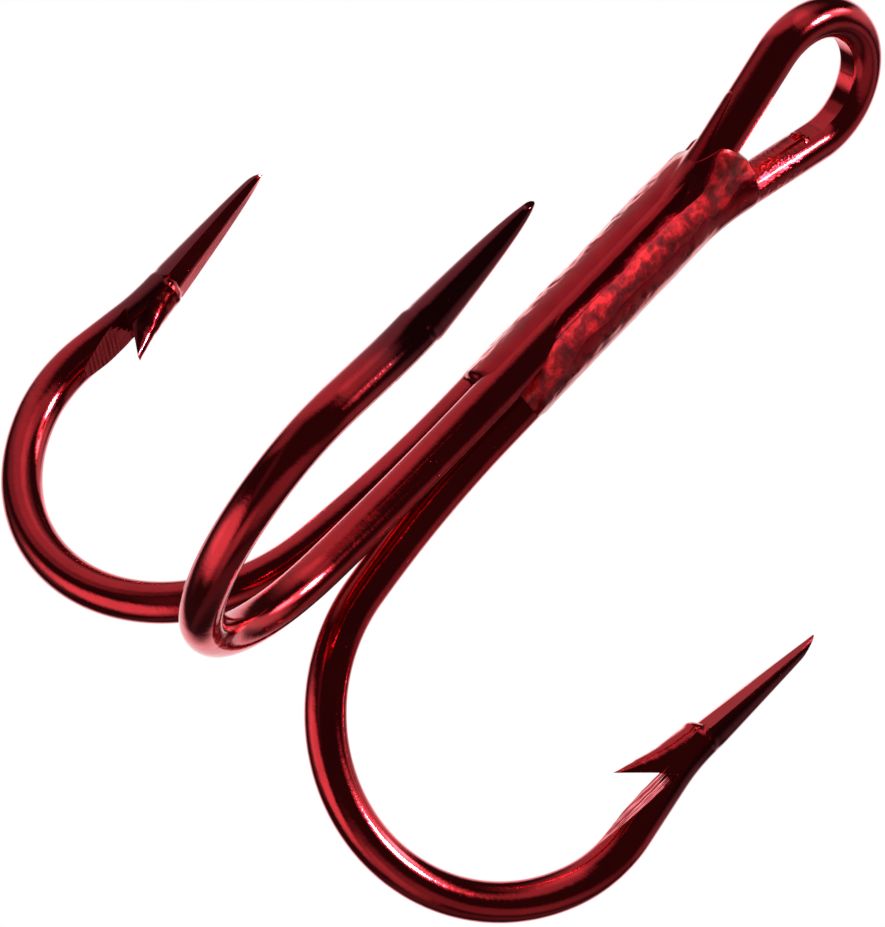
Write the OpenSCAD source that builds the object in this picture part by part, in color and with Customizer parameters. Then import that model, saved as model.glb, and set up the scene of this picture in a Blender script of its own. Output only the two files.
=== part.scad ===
// Treble fishing hook: a double hook bent from one wire, whose middle makes
// the line eye, with a single hook brazed into the valley behind it.
// The origin is the centre of the eye's round crown. +Z runs up the shank
// towards the eye, the eye's opening faces along Y, and the points face +Z.
// The single hook's shank lies on the +Y side, called the back.

/* [Wire] */
// Diameter of the hook wire
wire_d = 1.4; // [1.3:0.05:1.5]

/* [Eye] */
// Radius of the eye's crown, to the centre line of the wire
eye_r = 2.4; // [2.3:0.02:2.6]
// Angle past the half circle at which each leg leaves the crown
eye_lean = 18; // [15:0.5:20]
// Radius of the turn at the foot of each leg, into the shank
neck_r = 8.5; // [7:0.5:10]
// How deep the round seat is pressed into the inside of the crown
seat_depth = 0.08; // [0.04:0.01:0.15]

/* [Bend] */
// Distance from the eye's centre down to the start of the bend
shank_drop = 16.3; // [16:0.1:20]
// Radius of the easy turn that leads into the bend
entry_r = 47; // [40:1:60]
// Angle of the easy turn
entry_angle = 8.5; // [5:0.5:10]
// Radius of the main bend
bend_r = 6.45; // [5.8:0.05:7.5]
// Angle of the main bend
bend_angle = 148; // [144:1:152]
// Radius of the last turn, from the bend into the throat
throat_r = 5; // [3.5:0.1:6]
// How far the wire leans in towards the shank below the barb
throat_lean = 10.5; // [6:0.5:12]
// Length of the straight wire below the barb
throat_len = 1.7; // [1:0.1:3]

/* [Spacing] */
// Direction of the right hook around the shank
right_az = -32; // [-35:0.5:-25]
// Direction of the left hook around the shank
left_az = 206.5; // [205:0.5:215]
// Direction of the single hook around the shank
back_az = 93.5; // [86:0.5:94]
// How much higher than shank_drop the right hook's bend starts
right_lift = 0.2; // [-0.5:0.05:0.5]
// How much higher than shank_drop the left hook's bend starts
left_lift = -0.4; // [-0.5:0.05:0.5]
// How much higher than shank_drop the single hook's bend starts
back_lift = 0.15; // [-0.5:0.05:0.5]
// Extra length of wire below the right hook's barb
right_more = 0.5; // [0:0.1:0.8]

/* [Point] */
// Radius of the turn that brings the point back upright
point_turn_r = 7.4; // [6:0.2:12]
// How far the point leans out again, away from the shank
point_out = 5; // [2:0.5:6]
// Length of the straight point
point_len = 5.1; // [4.8:0.1:5.8]
// Length of the ground taper behind the tip
taper_len = 6.2; // [5.8:0.1:6.6]
// Radius left at the very tip
tip_r = 0.03; // [0.02:0.01:0.08]
// Distance from the tip back to where the barb lifts off the wire
barb_start = 5.1; // [4.9:0.1:5.3]
// Distance from the tip back to the floor of the cut behind the barb
barb_root = 6.9; // [6.8:0.1:7.1]
// Distance from the right hook's tip back to its barb's own tip
right_barb_end = 8.5; // [7.8:0.1:9]
// The same on the left hook
left_barb_end = 8.3; // [7.8:0.1:9]
// The same on the single hook
back_barb_end = 7.9; // [7.8:0.1:9]
// How far the barb's tip stands off the axis of the point
barb_reach = 1.15; // [1:0.05:1.4]
// Width of the barb where it leaves the wire
barb_w = 0.9; // [0.6:0.05:1]

/* [Braze] */
// Distance from the eye's centre down to the fillet between the eye's legs
web_drop = 3.75; // [3.6:0.05:4]
// Distance from the eye's centre down to the single hook's cut end
back_drop = 5; // [4.8:0.1:6]
// Distance from the eye's centre down to the lower end of the braze
braze_drop = 14.8; // [13:0.2:16.6]
// How far the braze fills each valley, as a share of the wire's radius
braze_fill = 0.86; // [0.7:0.02:0.9]

/* [Hidden] */

// Sides of the wire's section, a multiple of 12 so that the rings of the
// hooks and of the eye line up on the shanks
sides = 24;
// Facets of the round cuts and fills
round_fn = 96;
seat_fn = 180;

// Places of the three shanks: two side by side, one in the valley behind
wire_r = wire_d / 2;
row_y = wire_d * sqrt(3) / 2;
mid_y = row_y / 3;

// Hooks: [x and y of the shank, direction, lift of the bend,
//         extra length below the barb, distance from tip to barb's tip]
right_hook = [wire_r, 0, right_az, right_lift, right_more, right_barb_end];
left_hook = [-wire_r, 0, left_az, left_lift, 0, left_barb_end];
back_hook = [0, row_y, back_az, back_lift, 0, back_barb_end];
// The left hook mirrored to the +X side
left_mirrored = [wire_r, 0, 180 - left_az, left_lift, 0, left_barb_end];

// Eye: the crown ends at leg_x, leg_z, then a straight leg and a neck turn,
// which meets the shank at crotch_z
seat_r = eye_r - wire_r + seat_depth;
leg_x = eye_r * cos(eye_lean);
leg_z = -eye_r * sin(eye_lean);
neck_dx = neck_r * (1 - cos(eye_lean));
leg_len = (leg_x - neck_dx - wire_r) / sin(eye_lean);
neck_z = leg_z - leg_len * cos(eye_lean);
crotch_z = neck_z - neck_r * sin(eye_lean);
neck_steps = 4;
crown_steps = 20;

// ---- Centre line of one hook, in its own plane ----
// A station is [out, up, heading, distance still to go to the tip]. Heading 0
// runs down the shank and grows outwards. A turn with a negative radius and
// angle goes the other way. Stations before the barb's turn are marked far.
far = 99;

function turned(station, r, angle, left = far) =
    let (heading = station[2], end = heading + angle)
    [station[0] + r * (cos(heading) - cos(end)),
     station[1] + r * (sin(heading) - sin(end)), end, left];

function onward(station, len, left = far) =
    let (heading = station[2])
    [station[0] + len * sin(heading), station[1] - len * cos(heading), heading, left];

// Stations along a turn, without its last one. The distance to go changes
// evenly from the start's to end_left.
function arc(start, r, angle, steps, end_left = far) =
    [for (i = [0:steps - 1]) let (t = i / steps)
        turned(start, r, angle * t, start[3] + (end_left - start[3]) * t)];

throat_angle = 180 + throat_lean - entry_angle - bend_angle;
turn_back = throat_lean + point_out;
turn_len = point_turn_r * turn_back * PI / 180;

entry = [0, -shank_drop, 0, far];
bend = turned(entry, entry_r, entry_angle);
throat = turned(bend, bend_r, bend_angle);
straight = turned(throat, throat_r, throat_angle);
point_turn = onward(straight, throat_len, point_len + turn_len);
point = turned(point_turn, -point_turn_r, -turn_back, point_len);

// The stations of the straight point crowd together towards the tip
point_steps = 9;
point_crowding = 1.4;

hook_line = concat(
    arc(entry, entry_r, entry_angle, 3),
    arc(bend, bend_r, bend_angle, 28),
    arc(throat, throat_r, throat_angle, 6),
    [straight],
    arc(point_turn, -point_turn_r, -turn_back, 5, point_len),
    [for (i = [0:point_steps]) let (t = pow(1 - i / point_steps, point_crowding))
        onward(point, point_len * (1 - t), point_len * t)]);

// Station moved on by the extra length of wire below the barb, if it lies
// beyond that wire
function lengthened(station, more) = station[3] == far ? station
    : [station[0] + more * sin(straight[2]),
       station[1] - more * cos(straight[2]), station[2], station[3]];

// ---- Rings of the wire ----
// Radius of the wire at a distance from the tip: an ogive, then the full wire
ogive_power = 0.68;
function wire_radius(left) = left >= taper_len ? wire_r
    : tip_r + (wire_r - tip_r) * pow(left / taper_len, ogive_power);

// Ring around a centre, where u and v are unit vectors square to the wire
function ring(centre, u, v, r, roll) =
    [for (k = [0:sides - 1]) let (angle = 360 * (k + 0.5) / sides + roll)
        centre + r * (cos(angle) * u + sin(angle) * v)];

// Ring at a station of a hook. The roll keeps it in line with the eye's rings.
function hook_ring(station, hook) =
    let (s = lengthened(station, hook[4]), az = hook[2], heading = s[2])
    ring([hook[0] + s[0] * cos(az), hook[1] + s[0] * sin(az), s[1] + hook[3]],
         [-sin(az), cos(az), 0],
         [cos(heading) * cos(az), cos(heading) * sin(az), sin(heading)],
         wire_radius(s[3]), az);

// Ring of the eye at x, z, with the wire leaning in by lean from straight up
function eye_ring(x, z, lean) =
    ring([x, 0, z], [0, 1, 0], [cos(lean), 0, sin(lean)], wire_r, 0);

function reversed(list) = [for (i = [len(list) - 1:-1:0]) list[i]];

// Half of the double hook on the +X side, from its tip up to just before the
// eye's top
function half_wire(hook) = concat(
    reversed([for (s = hook_line) hook_ring(s, hook)]),
    [for (i = [0:neck_steps]) let (a = eye_lean * i / neck_steps)
        eye_ring(wire_r + neck_r * (1 - cos(a)), crotch_z + neck_r * sin(a), -a)],
    [for (i = [0:crown_steps - 1])
        let (a = -eye_lean + (90 + eye_lean) * i / crown_steps)
        eye_ring(eye_r * cos(a), eye_r * sin(a), a)]);

right_half = half_wire(right_hook);
top_ring = eye_ring(0, eye_r, 90);
left_half = reversed([for (r = half_wire(left_mirrored))
    [for (p = r) [-p[0], p[1], p[2]]]]);

// Solid through a list of rings
module skin(rings) {
    last = (len(rings) - 1) * sides;
    polyhedron(
        points = [for (r = rings) each r],
        faces = concat(
            [[for (k = [sides - 1:-1:0]) k]],
            [[for (k = [0:sides - 1]) last + k]],
            [for (i = [0:len(rings) - 2], k = [0:sides - 1])
                let (low = i * sides, high = low + sides, next = (k + 1) % sides)
                each [[low + k, low + next, high + next],
                      [low + k, high + next, high + k]]]),
        convexity = 8);
}

// ---- Barbs ----
// Face of the barb towards the shank, from the tip end: [distance from the
// point's axis as a share of wire_r, distance back from barb_start]
barb_face = [[0.6, 0], [0.86, 0.35], [1.2, 1.6]];
// How far the barb is sunk into the wire at its front end
barb_sink = 0.1;
// Where the floor of the cut lies across the point's axis
root_x = -0.2;
// Width at the barb's own tip
barb_tip_w = 0.1;
// The cut follows the barb's rear side and runs on past its tip, by this
// factor of that side's length
notch_stretch = 1.7;
// Far end of the cut's floor: place across the axis, distance from barb_root
notch_end_x = -0.16;
notch_run = 3.5;

// Places an outline drawn with x out from the axis of the point towards the
// shank and y back from the tip, on a hook
module on_point(hook) {
    tip = lengthened(onward(point, point_len, 0), hook[4]);
    translate([hook[0], hook[1], hook[3]])
        rotate([0, 0, hook[2]])
            translate([tip[0], 0, tip[1]])
                rotate([0, point_out, 0])
                    rotate([-90, 0, 0])
                        mirror([1, 0, 0]) children();
}

// Barb: a spur cut from the inner side of the point and lifted clear. It is
// wide where it leaves the wire and narrows to its tip.
module barb(hook) {
    barb_end = hook[5];
    // Places along the point where the width starts, narrows and stops
    wide_start = barb_start - 0.3;
    wide_end = barb_root - 0.4;
    narrow_end = barb_end + 0.1;
    on_point(hook)
        intersection() {
            linear_extrude(2 * barb_w, center = true)
                polygon(concat(
                    [[-barb_sink, barb_start - barb_sink]],
                    [for (p = barb_face) [wire_r * p[0], barb_start + p[1]]],
                    [[barb_reach, barb_end], [root_x, barb_root]]));
            // Outline seen from the shank, through more than the barb's height
            translate([-2, 0, 0])
                rotate([90, 0, 90])
                    linear_extrude(5)
                        polygon([[wide_start, -barb_w / 2],
                                 [wide_end, -barb_w / 2],
                                 [narrow_end, -barb_tip_w / 2],
                                 [narrow_end, barb_tip_w / 2],
                                 [wide_end, barb_w / 2],
                                 [wide_start, barb_w / 2]]);
        }
}

// The long cut behind the barb, which runs out where the wire leans away
module barb_notch(hook) {
    on_point(hook)
        linear_extrude(2 * wire_d, center = true)
            polygon([[root_x, barb_root],
                     [root_x + notch_stretch * (barb_reach - root_x),
                      barb_root + notch_stretch * (hook[5] - barb_root)],
                     [notch_end_x, barb_root + notch_run]]);
}

// ---- Wires ----
// Double hook: eye and two hooks in one wire, with a round seat pressed
// into the inside of the eye's crown
module double_hook_wire() {
    color([0.72, 0.05, 0.06])
        difference() {
            union() {
                difference() {
                    skin(concat(right_half, [top_ring], left_half));
                    barb_notch(right_hook);
                    barb_notch(left_hook);
                }
                barb(right_hook);
                barb(left_hook);
            }
            rotate([90, 0, 0])
                cylinder(h = 2 * wire_d, r = seat_r, center = true, $fn = seat_fn);
        }
}

// Single hook: its shank lies in the valley behind the other two and is
// cut off square between the legs of the eye, whatever its bend's lift
module single_hook_wire() {
    cut_end = [0, -back_drop - back_lift, 0, far];
    color([0.66, 0.04, 0.05])
        union() {
            difference() {
                skin(reversed([for (s = concat([cut_end], hook_line))
                    hook_ring(s, back_hook)]));
                barb_notch(back_hook);
            }
            barb(back_hook);
        }
}

// ---- Braze ----
// Inner limit of each valley's fill and radius of the core, as shares of wire_r
valley_inner = 0.3;
core_share = 0.42;
// How much lower than braze_drop the two side seams end
left_seam_more = 0.7;
right_seam_more = 0.3;
// Web: its foot stands web_rise above the crotch, where the front seam
// overlaps it
web_rise = 1.1;
web_overlap = 0.05;
web_z = crotch_z + web_rise;
// The leg's axis, and half the clear gap between the legs, at web_drop
web_x = leg_x - (leg_z + web_drop) * tan(eye_lean);
half_gap = web_x - wire_r / cos(eye_lean);
fillet_r = half_gap * 1.15;
// Angle by which the room for the neck runs past each end of its turn
neck_slack = 4;

// Section of a wire
module wire_circle(x, y = 0) {
    translate([x, y]) circle(r = wire_r, $fn = round_fn);
}

// Fill of one valley between two touching wires, from bottom to top, on the
// -Y side of a pair that sits at x = -wire_r and x = +wire_r
module valley(bottom, top) {
    fill = braze_fill * wire_r;
    translate([0, 0, bottom])
        linear_extrude(top - bottom)
            difference() {
                translate([-wire_r, -fill])
                    square([wire_d, fill - valley_inner * wire_r]);
                wire_circle(-wire_r);
                wire_circle(wire_r);
            }
}

// Valley fill turned about the middle of the three wires
module side_seam(angle, bottom) {
    translate([0, mid_y, 0])
        rotate([0, 0, angle])
            translate([0, -mid_y, 0])
                valley(bottom, crotch_z);
}

// Room taken by the eye's leg and neck on the +X side
module leg_room() {
    translate([leg_x, 0, leg_z])
        rotate([0, 180 + eye_lean, 0])
            cylinder(h = leg_len, r = wire_r, $fn = round_fn);
    translate([wire_r + neck_r, 0, crotch_z])
        rotate([90, 0, 0])
            rotate_extrude(start = 180 - eye_lean - neck_slack,
                           angle = eye_lean + 2 * neck_slack, $fn = round_fn)
                translate([neck_r, 0]) circle(r = wire_r, $fn = round_fn);
}

// Web of braze between the eye's legs, with a hollow fillet on top
module crotch_web() {
    back_y = row_y - wire_r;
    top_z = half_gap - web_drop;
    difference() {
        translate([0, back_y, 0])
            rotate([90, 0, 0])
                linear_extrude(braze_fill * wire_r + back_y)
                    polygon([[-wire_r, web_z], [wire_r, web_z],
                             [web_x, top_z], [-web_x, top_z]]);
        leg_room();
        mirror([1, 0, 0]) leg_room();
        translate([0, 0, fillet_r - web_drop])
            rotate([90, 0, 0])
                cylinder(h = 4 * wire_d, r = fillet_r, center = true, $fn = round_fn);
    }
}

// Braze along the valley between the two shanks of the double hook, up into
// the fork of the eye
module braze_front_seam() {
    color([0.85, 0.1, 0.12])
        union() {
            valley(-braze_drop, web_z + web_overlap);
            crotch_web();
        }
}

// Braze along the valley between the single hook and the left shank
module braze_left_seam() {
    color([0.85, 0.16, 0.16])
        side_seam(-120, -braze_drop - left_seam_more);
}

// Braze along the valley between the single hook and the right shank
module braze_right_seam() {
    color([0.85, 0.16, 0.16])
        side_seam(120, -braze_drop - right_seam_more);
}

// Braze drawn into the three-cornered channel between the wires
module braze_core() {
    color([0.8, 0.7, 0.4])
        translate([0, 0, -braze_drop])
            linear_extrude(braze_drop + crotch_z)
                difference() {
                    translate([0, mid_y]) circle(r = wire_r * core_share, $fn = round_fn);
                    wire_circle(wire_r);
                    wire_circle(-wire_r);
                    wire_circle(0, row_y);
                }
}

double_hook_wire();
single_hook_wire();
braze_front_seam();
braze_left_seam();
braze_right_seam();
braze_core();
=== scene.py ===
import math
import bpy
import bmesh
import numpy as np
from mathutils import Matrix, Vector


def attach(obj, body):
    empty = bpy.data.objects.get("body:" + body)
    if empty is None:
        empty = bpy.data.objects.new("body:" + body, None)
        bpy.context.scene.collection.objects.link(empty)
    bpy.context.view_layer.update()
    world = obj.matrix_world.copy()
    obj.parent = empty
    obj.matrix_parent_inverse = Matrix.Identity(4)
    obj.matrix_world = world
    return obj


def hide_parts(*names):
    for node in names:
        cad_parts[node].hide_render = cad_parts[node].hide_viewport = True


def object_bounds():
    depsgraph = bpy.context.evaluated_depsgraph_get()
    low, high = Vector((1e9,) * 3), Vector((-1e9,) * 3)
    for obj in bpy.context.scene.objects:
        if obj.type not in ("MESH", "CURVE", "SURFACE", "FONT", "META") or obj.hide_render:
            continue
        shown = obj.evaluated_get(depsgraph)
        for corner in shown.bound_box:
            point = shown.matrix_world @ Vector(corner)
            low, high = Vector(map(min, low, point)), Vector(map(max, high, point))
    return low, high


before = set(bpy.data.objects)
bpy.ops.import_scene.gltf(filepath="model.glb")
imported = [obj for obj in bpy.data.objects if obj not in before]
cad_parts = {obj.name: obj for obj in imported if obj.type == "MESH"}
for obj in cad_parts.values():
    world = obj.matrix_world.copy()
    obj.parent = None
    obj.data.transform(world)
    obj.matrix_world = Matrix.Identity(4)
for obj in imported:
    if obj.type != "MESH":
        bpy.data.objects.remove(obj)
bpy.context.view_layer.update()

MM = 0.001

# ---------------------------------------------------------------------------
# The wire's dimensions, in millimetres, as in the CAD
# ---------------------------------------------------------------------------
WIRE_R = 0.7
EYE_R, EYE_LEAN, NECK_R = 2.4, 18.0, 8.5
SEAT_R = EYE_R - WIRE_R + 0.08
SHANK_DROP, ENTRY_R, ENTRY_A = 16.3, 47.0, 8.5
BEND_R, BEND_A, THROAT_R, THROAT_LEAN, THROAT_LEN = 6.45, 148.0, 5.0, 10.5, 1.7
TURN_R, POINT_OUT, POINT_LEN = 7.4, 5.0, 5.1
BACK_DROP, BRAZE_DROP = 5.0, 14.8
ROW_Y = WIRE_R * math.sqrt(3)
MID_Y = ROW_Y / 3
# x, y of the shank, direction of the hook, how much higher its bend starts,
# extra wire below the barb, distance from the tip back to the barb's own tip
HOOKS = {
    "right": (WIRE_R, 0.0, -32.0, 0.2, 0.5, 8.5),
    "left": (-WIRE_R, 0.0, 206.5, -0.4, 0.0, 8.3),
    "back": (0.0, ROW_Y, 93.5, 0.15, 0.0, 8.1),
}
SIDES = 72


def sind(a):
    return math.sin(math.radians(a))


def cosd(a):
    return math.cos(math.radians(a))


LEG_X, LEG_Z = EYE_R * cosd(EYE_LEAN), -EYE_R * sind(EYE_LEAN)
LEG_LEN = (LEG_X - NECK_R * (1 - cosd(EYE_LEAN)) - WIRE_R) / sind(EYE_LEAN)
NECK_Z = LEG_Z - LEG_LEN * cosd(EYE_LEAN)
CROTCH_Z = NECK_Z - NECK_R * sind(EYE_LEAN)


def turned(s, r, a):
    return (s[0] + r * (cosd(s[2]) - cosd(s[2] + a)),
            s[1] + r * (sind(s[2]) - sind(s[2] + a)), s[2] + a)


def onward(s, d):
    return (s[0] + d * sind(s[2]), s[1] - d * cosd(s[2]), s[2])


def hook_profile():
    """Stations of one hook in its plane: out, up, heading, distance to the tip."""
    throat_a = 180 + THROAT_LEAN - ENTRY_A - BEND_A
    back = THROAT_LEAN + POINT_OUT
    turn_len = TURN_R * math.radians(back)
    out = []
    s = (0.0, -SHANK_DROP, 0.0)
    tail = THROAT_LEN + turn_len + POINT_LEN
    left = tail + sum(r * math.radians(a) for r, a in
                      ((ENTRY_R, ENTRY_A), (BEND_R, BEND_A), (THROAT_R, throat_a)))
    for r, a, step in ((ENTRY_R, ENTRY_A, 0.2), (BEND_R, BEND_A, 0.11), (THROAT_R, throat_a, 0.1)):
        n = max(4, int(r * math.radians(a) / step))
        for i in range(n):
            out.append(turned(s, r, a * i / n) + (left - r * math.radians(a) * i / n,))
        s = turned(s, r, a)
        left -= r * math.radians(a)
    for i in range(16):
        out.append(onward(s, THROAT_LEN * i / 16) + (left - THROAT_LEN * i / 16,))
    s = onward(s, THROAT_LEN)
    for i in range(20):
        out.append(turned(s, -TURN_R, -back * i / 20) + (POINT_LEN + turn_len * (1 - i / 20),))
    s = turned(s, -TURN_R, -back)
    # sections crowd where the ground faces start and end
    stops = sorted(set([round(POINT_LEN * (i / 44) ** 1.25, 4) for i in range(45)] + [0.9, 0.93]), reverse=True)
    for left in stops:
        out.append(onward(s, POINT_LEN - left) + (left,))
    return out, onward(s, POINT_LEN)


PROFILE, TIP = hook_profile()
# distance from the tip to the start of the turn below the barb
TURN_LEFT = POINT_LEN + TURN_R * math.radians(THROAT_LEAN + POINT_OUT) + 1e-6


def smooth(x, a, b):
    t = min(1.0, max(0.0, (x - a) / (b - a)))
    return t * t * (3 - 2 * t)


def section(left, bevel=0.385):
    """The wire's section at a distance from the tip, as (inward, across) pairs.
    Index 0 is the inner side, which faces the shank."""
    th = np.arange(SIDES) * 2 * np.pi / SIDES
    round_a, round_c = WIRE_R * np.cos(th), WIRE_R * np.sin(th)
    if left > 8.6:
        return round_a, round_c
    # round wire whose inner side is cut flat where the barb is lifted out of it
    flat = 0.47 + 0.3 * smooth(left, 7.0, 8.6)
    clip_a = np.minimum(round_a, flat)
    if left > 5.45:
        return clip_a, round_c
    w = max(left, 0.0)
    inner = 0.012 + 0.086 * w
    outer = min(0.288 + 0.0845 * w, 0.7)
    half = max(0.02, 0.69 * min(1.0, w / 5.0) ** 0.5)
    crease = inner - 0.15 * (inner + outer) - 0.01
    k = SIDES // 4
    a, c = np.zeros(SIDES), np.zeros(SIDES)
    for i in range(SIDES):
        j = i if i <= SIDES // 2 else SIDES - i
        sg = 1.0 if i <= SIDES // 2 else -1.0
        if j <= k:
            # the ground face, very slightly hollow, from the inner edge to the crease
            t = j / k
            a[i] = inner + (crease - inner) * t
            c[i] = sg * half * t
        else:
            f = (j - k) / (SIDES / 2 - k) * math.pi / 2
            a[i] = crease - (outer + crease) * math.sin(f)
            c[i] = sg * half * math.cos(f)
    # rounds the inner edge a little
    a[0] -= 0.012 * min(1, w)
    # chisel bevel at the tip, on the outer side
    a = np.maximum(a, -(0.018 + bevel * w))
    if left > 5.1:
        t = smooth(left, 5.1, 5.4)
        a, c = a * (1 - t) + clip_a * t, c * (1 - t) + round_c * t
    return a, c


def hook_rings(x, y, az, lift, more, bevel=0.385):
    """Rings from the tip back to the top of the shank's bend."""
    o = np.array([cosd(az), sind(az), 0.0])
    l = np.array([-sind(az), cosd(az), 0.0])
    rings = []
    for s in reversed(PROFILE):
        p = np.array([x, y, s[1] + lift]) + s[0] * o
        if s[3] < TURN_LEFT:
            p = p + more * (sind(190.5) * o - cosd(190.5) * np.array([0, 0, 1.0]))
        b = cosd(s[2]) * o + sind(s[2]) * np.array([0, 0, 1.0])
        a, c = section(s[3], bevel)
        rings.append(p + a[:, None] * b + c[:, None] * l)
    return rings


def round_ring(p, b, l, roll):
    th = np.arange(SIDES) * 2 * np.pi / SIDES + math.radians(roll)
    return np.array(p) + WIRE_R * (np.cos(th)[:, None] * np.array(b) + np.sin(th)[:, None] * np.array(l))


def shank_rings(x, y, az, z0, z1, step):
    """Round rings on the straight shank between z0 and z1, both left out."""
    n = max(2, int(abs(z1 - z0) / step))
    return [round_ring((x, y, z0 + (z1 - z0) * i / n), (1, 0, 0), (0, 1, 0), az) for i in range(1, n)]


def half_wire(az, lift, more, roll_end, bevel=0.385):
    rings = hook_rings(WIRE_R, 0.0, az, lift, more, bevel)
    rings += shank_rings(WIRE_R, 0.0, az, -SHANK_DROP + lift, CROTCH_Z, 0.3)
    path = []
    for i in range(12):
        h = EYE_LEAN * i / 12
        path.append((WIRE_R + NECK_R * (1 - cosd(h)), CROTCH_Z + NECK_R * sind(h), -h))
    for i in range(14):
        path.append((LEG_X - (LEG_LEN * (1 - i / 14)) * sind(EYE_LEAN),
                     LEG_Z - (LEG_LEN * (1 - i / 14)) * cosd(EYE_LEAN), -EYE_LEAN))
    for i in range(51):
        h = -EYE_LEAN + (90 + EYE_LEAN) * i / 50
        path.append((EYE_R * cosd(h), EYE_R * sind(h), h))
    for i, (x, z, h) in enumerate(path):
        t = i / (len(path) - 1)
        rings.append(round_ring((x, 0, z), (cosd(h), 0, sind(h)), (0, 1, 0), az + (roll_end - az) * t))
    return rings


# ---------------------------------------------------------------------------
# Mesh helpers
# ---------------------------------------------------------------------------
def new_object(name, verts, faces):
    me = bpy.data.meshes.new(name)
    me.from_pydata([tuple(v) for v in np.asarray(verts, float) * MM], [], faces)
    me.validate()
    ob = bpy.data.objects.new(name, me)
    bpy.context.scene.collection.objects.link(ob)
    bm = bmesh.new()
    bm.from_mesh(me)
    bmesh.ops.recalc_face_normals(bm, faces=bm.faces)
    if bm.calc_volume(signed=True) < 0:
        bmesh.ops.reverse_faces(bm, faces=bm.faces)
    bm.to_mesh(me)
    bm.free()
    return ob


def skin(name, rings):
    n, m = len(rings), len(rings[0])
    verts = np.concatenate(rings)
    faces = [list(range(m)), [(n - 1) * m + k for k in range(m)]]
    for i in range(n - 1):
        for k in range(m):
            j = (k + 1) % m
            faces.append([i * m + k, i * m + j, (i + 1) * m + j, (i + 1) * m + k])
    return new_object(name, verts, faces)


def carve(ob, cutter, kind):
    """Cuts or joins cutter with ob, exactly, and throws the cutter away."""
    mod = ob.modifiers.new("b", "BOOLEAN")
    mod.operation, mod.solver, mod.object = kind, "EXACT", cutter
    dg = bpy.context.evaluated_depsgraph_get()
    me = bpy.data.meshes.new_from_object(ob.evaluated_get(dg))
    ob.modifiers.clear()
    old = ob.data
    ob.data = me
    bpy.data.meshes.remove(old)
    data = cutter.data
    bpy.data.objects.remove(cutter)
    bpy.data.meshes.remove(data)


def together(name, obs):
    """One object out of several that don't touch."""
    verts, faces, n = [], [], 0
    for o in obs:
        verts += [tuple(v.co / MM) for v in o.data.vertices]
        faces += [[n + i for i in p.vertices] for p in o.data.polygons]
        n += len(o.data.vertices)
        data = o.data
        bpy.data.objects.remove(o)
        bpy.data.meshes.remove(data)
    return new_object(name, verts, faces)


def tidy(ob, angle=20):
    me = ob.data
    bm = bmesh.new()
    bm.from_mesh(me)
    bmesh.ops.remove_doubles(bm, verts=bm.verts, dist=1e-7)
    bmesh.ops.dissolve_degenerate(bm, edges=bm.edges, dist=1e-7)
    loose = [v for v in bm.verts if not v.link_faces]
    bmesh.ops.delete(bm, geom=loose, context="VERTS")
    bm.to_mesh(me)
    bm.free()
    me.polygons.foreach_set("use_smooth", [True] * len(me.polygons))
    me.set_sharp_from_angle(angle=math.radians(angle))
    me.update()


# Value noise on a lattice, from a hash of whole numbers: the same every run
def lattice(i, j, k, seed):
    h = (i * 374761393 + j * 668265263 + k * 2147483647 + seed * 974634777) & 0xFFFFFFFF
    h = ((h ^ (h >> 13)) * 1274126177) & 0xFFFFFFFF
    return ((h ^ (h >> 16)) & 0xFFFF) / 65535.0 * 2 - 1


def noise(p, scale, seed=0):
    """Smooth noise from -1 to 1 at points p, an (n, 3) array, with features about scale mm."""
    q = np.asarray(p, float) / scale
    f0 = np.floor(q)
    t = q - f0
    t = t * t * (3 - 2 * t)
    i0 = f0.astype(np.int64)
    out = np.zeros(len(q))
    for dx in (0, 1):
        for dy in (0, 1):
            for dz in (0, 1):
                w = ((t[:, 0] if dx else 1 - t[:, 0]) * (t[:, 1] if dy else 1 - t[:, 1])
                     * (t[:, 2] if dz else 1 - t[:, 2]))
                out += w * lattice(i0[:, 0] + dx, i0[:, 1] + dy, i0[:, 2] + dz, seed)
    return out


def step(x, a, b):
    t = np.clip((x - a) / (b - a), 0, 1)
    return t * t * (3 - 2 * t)


# ---------------------------------------------------------------------------
# Barbs and the cuts behind them
# ---------------------------------------------------------------------------
def point_frame(x, y, az, lift, more, end):
    """Origin at the tip, inward direction, across, and back from the tip."""
    o = np.array([cosd(az), sind(az), 0.0])
    up = np.array([0, 0, 1.0])
    l = np.array([-sind(az), cosd(az), 0.0])
    h = TIP[2]
    b = cosd(h) * o + sind(h) * up
    t = sind(h) * o - cosd(h) * up
    origin = np.array([x, y, TIP[1] + lift]) + TIP[0] * o + more * (sind(190.5) * o - cosd(190.5) * up)
    return origin, b, l, -t


def place(pts, fr):
    """Points given as (inward, across, back) in a point frame."""
    o, b, l, k = fr
    pts = np.asarray(pts, float)
    return o + pts[:, 0:1] * b + pts[:, 1:2] * l + pts[:, 2:3] * k


ROOT = (-0.2, 6.9)
REACH = 1.15


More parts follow.
